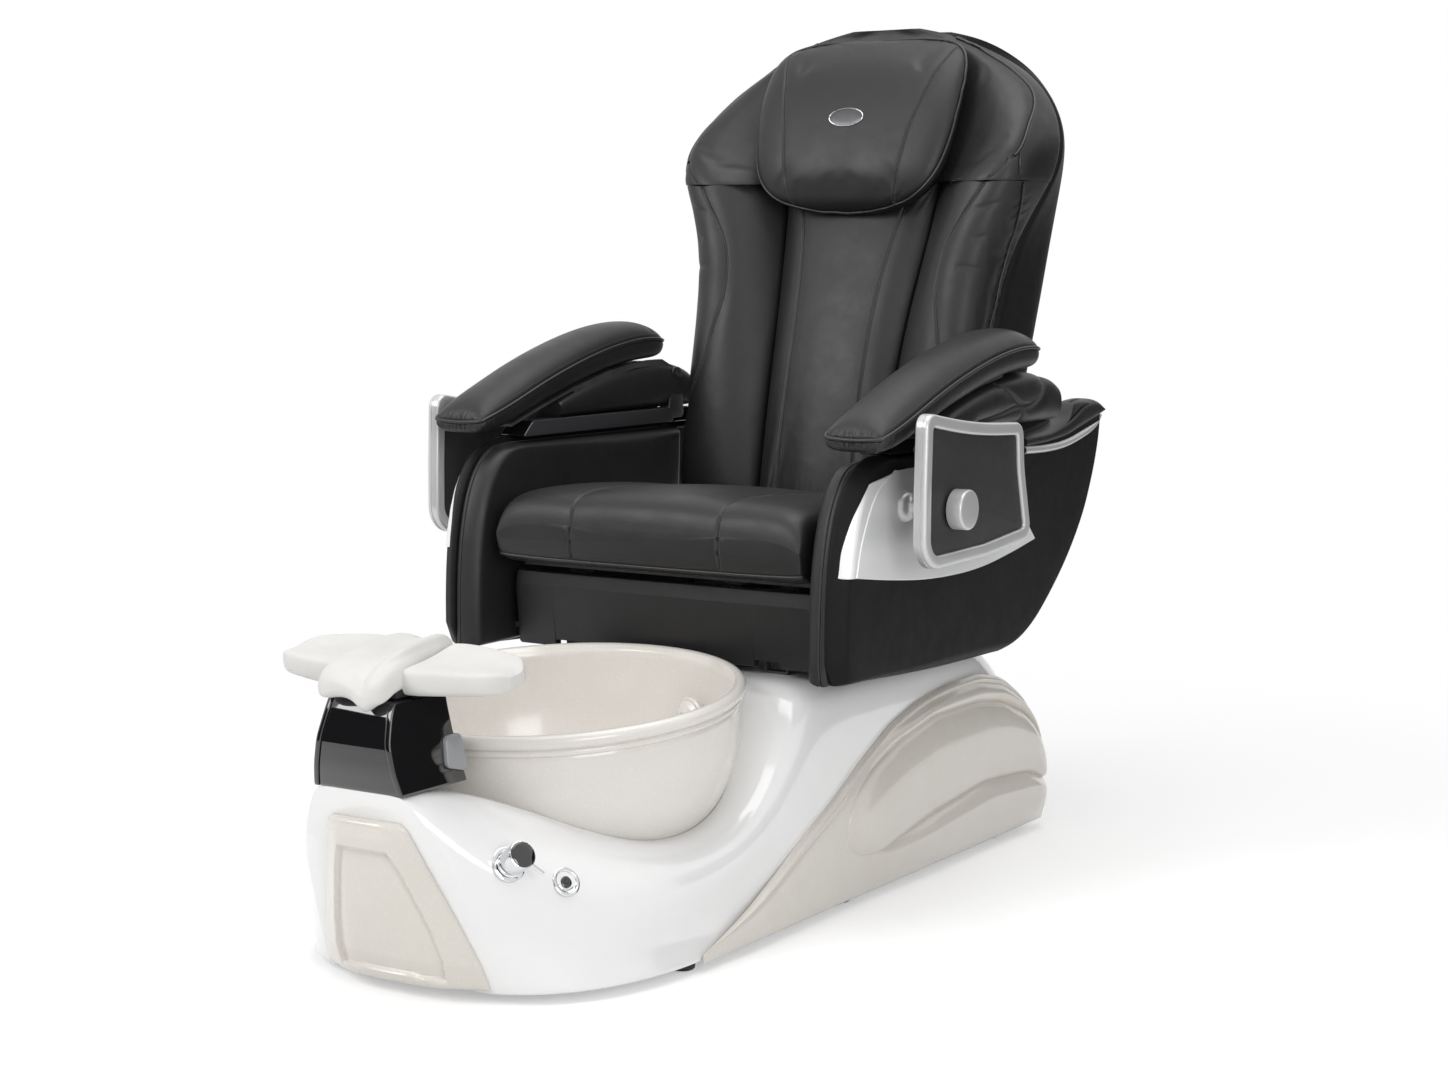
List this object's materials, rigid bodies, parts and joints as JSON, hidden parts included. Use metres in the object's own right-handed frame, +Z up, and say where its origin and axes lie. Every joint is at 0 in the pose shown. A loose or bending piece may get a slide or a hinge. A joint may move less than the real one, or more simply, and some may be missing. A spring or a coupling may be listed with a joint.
{
  "type": "pedicure spa chair",
  "caption": "Pedicure spa chair with a moulded foot-bath base, round basin, pedestal footrest, reclining padded chair, lifting armrests and swinging side trays.",
  "frame": {"origin": "middle of the footprint on the floor", "axes": "+X is the sitter's left, -Y the front where the footrest stands, +Z up"},
  "size_m": [1.0386, 1.6549, 1.456],
  "materials": {
    "shell_white": "gloss gel-coated glass-fibre moulding",
    "pearl": "pearl beige gel coat with a fine sparkle",
    "rubber_feet": "moulded rubber",
    "dark_steel": "dark powder coat",
    "plastic_black": "fine-grained moulding",
    "chrome": "polished chrome plate",
    "gloss_black": "piano-black gloss",
    "clip_grey": "satin grey moulding",
    "foam_white": "self-skinned foam, smooth matt",
    "satin_silver": "satin silver",
    "hide_black": "fine-grained black upholstery with double stitching and piping"
  },
  "bodies": {
    "base": {"base_shell": "shell_white", "front_insert": "pearl", "side_panel_left": "pearl", "side_panel_right": "pearl", "feet": "rubber_feet", "base_frame": "dark_steel", "basin": "pearl", "drain_body": "chrome", "jet_housing": "pearl", "jet_motor": "dark_steel", "drain_pump": "dark_steel", "control_box": "plastic_black", "pedestal_cover": "gloss_black", "pedestal_cheeks": "gloss_black", "pedestal_clips": "clip_grey", "faucet_escutcheon": "chrome", "faucet_body": "chrome", "button_ring": "chrome", "seat_rails": "dark_steel"},
    "chair": {"seat_carriage": "dark_steel", "seat_panel": "hide_black", "seat_cushion": "hide_black", "arm_inner_left": "hide_black", "arm_inner_right": "hide_black", "arm_shell_left": "hide_black", "arm_shell_right": "hide_black", "arm_trim_left": "satin_silver", "arm_trim_right": "satin_silver", "arm_rail_left": "gloss_black", "arm_rail_right": "gloss_black", "arm_pouch_left": "hide_black", "arm_pouch_right": "hide_black", "tray_mounts": "satin_silver", "recline_actuator": "dark_steel", "rear_cover": "plastic_black"},
    "back": {"back_frame": "dark_steel", "back_shell": "hide_black", "back_cushion": "hide_black", "bolster_left": "hide_black", "bolster_right": "hide_black", "shoulder_cushion": "hide_black"},
    "pillow": {"head_pillow": "hide_black", "pillow_badge": "chrome"},
    "armrest_left": {"armrest_pad_left": "hide_black", "armrest_bracket_left": "dark_steel"},
    "armrest_right": {"armrest_pad_right": "hide_black", "armrest_bracket_right": "dark_steel"},
    "tray_left": {"tray_left": "satin_silver"},
    "tray_right": {"tray_right": "satin_silver"},
    "tray_knob_left": {"tray_knob_left": "satin_silver"},
    "tray_knob_right": {"tray_knob_right": "satin_silver"},
    "footrest": {"footrest_post": "dark_steel", "footrest_centre": "foam_white", "footrest_wing_left": "foam_white", "footrest_wing_right": "foam_white"},
    "faucet_handle": {"faucet_handle": "gloss_black"},
    "air_button": {"air_button": "gloss_black"},
    "drain_stopper": {"drain_stopper": "chrome"},
    "jet_cap": {"jet_cap": "pearl"},
    "actuator_rod": {"actuator_rod": "dark_steel"}
  },
  "joints": [
    {"name": "seat_slide", "type": "slide", "parent": "base", "child": "chair", "axis": [0, 1, 0], "range_m": [0, 0.08]},
    {"name": "back_recline", "type": "hinge", "parent": "chair", "child": "back", "pos_m": [0, 0.4708, 0.56], "axis": [-1, 0, 0], "range_deg": [0, 28]},
    {"name": "pillow_flip", "type": "hinge", "parent": "back", "child": "pillow", "pos_m": [0, 0.6908, 1.455], "axis": [-1, 0, 0], "range_deg": [0, 90]},
    {"name": "armrest_left_lift", "type": "hinge", "parent": "chair", "child": "armrest_left", "pos_m": [0.345, 0.4928, 0.835], "axis": [-1, 0, 0], "range_deg": [0, 60]},
    {"name": "armrest_right_lift", "type": "hinge", "parent": "chair", "child": "armrest_right", "pos_m": [-0.345, 0.4928, 0.835], "axis": [-1, 0, 0], "range_deg": [0, 60]},
    {"name": "tray_left_swing", "type": "hinge", "parent": "chair", "child": "tray_left", "pos_m": [0.48, 0.0408, 0.664], "axis": [1, 0, 0], "range_deg": [0, 90]},
    {"name": "tray_right_swing", "type": "hinge", "parent": "chair", "child": "tray_right", "pos_m": [-0.48, 0.0408, 0.664], "axis": [1, 0, 0], "range_deg": [0, 90]},
    {"name": "knob_left_turn", "type": "hinge", "parent": "tray_left", "child": "tray_knob_left", "pos_m": [0.5, 0.0408, 0.664], "axis": [1, 0, 0], "range_deg": [0, 90]},
    {"name": "knob_right_turn", "type": "hinge", "parent": "tray_right", "child": "tray_knob_right", "pos_m": [-0.5, 0.0408, 0.664], "axis": [-1, 0, 0], "range_deg": [0, 90]},
    {"name": "footrest_lift", "type": "slide", "parent": "base", "child": "footrest", "axis": [0, 0, 1], "range_m": [0, 0.04]},
    {"name": "faucet_turn", "type": "hinge", "parent": "base", "child": "faucet_handle", "pos_m": [0.184, -0.7142, 0.209], "axis": [0.8138, -0.2962, 0.5], "range_deg": [-45, 45]},
    {"name": "button_press", "type": "slide", "parent": "base", "child": "air_button", "axis": [-0.8065, 0.2621, -0.5299], "range_m": [0, 0.003], "stiffness_N_per_m": 300},
    {"name": "stopper_lift", "type": "slide", "parent": "base", "child": "drain_stopper", "axis": [0, -0.0872, 0.9962], "range_m": [0, 0.01]},
    {"name": "jet_cap_turn", "type": "hinge", "parent": "base", "child": "jet_cap", "pos_m": [0, -0.34914, 0.2904], "axis": [0.342, 0.9361, 0.0819], "range_deg": [-30, 30]},
    {"name": "rod_stroke", "type": "slide", "parent": "chair", "child": "actuator_rod", "axis": [0, -1, 0], "range_m": [0, 0.0375]}
  ],
  "couplings": [
    {"joint": "rod_stroke", "follows": "back_recline", "m_per_rad": 0.0755}
  ]
}
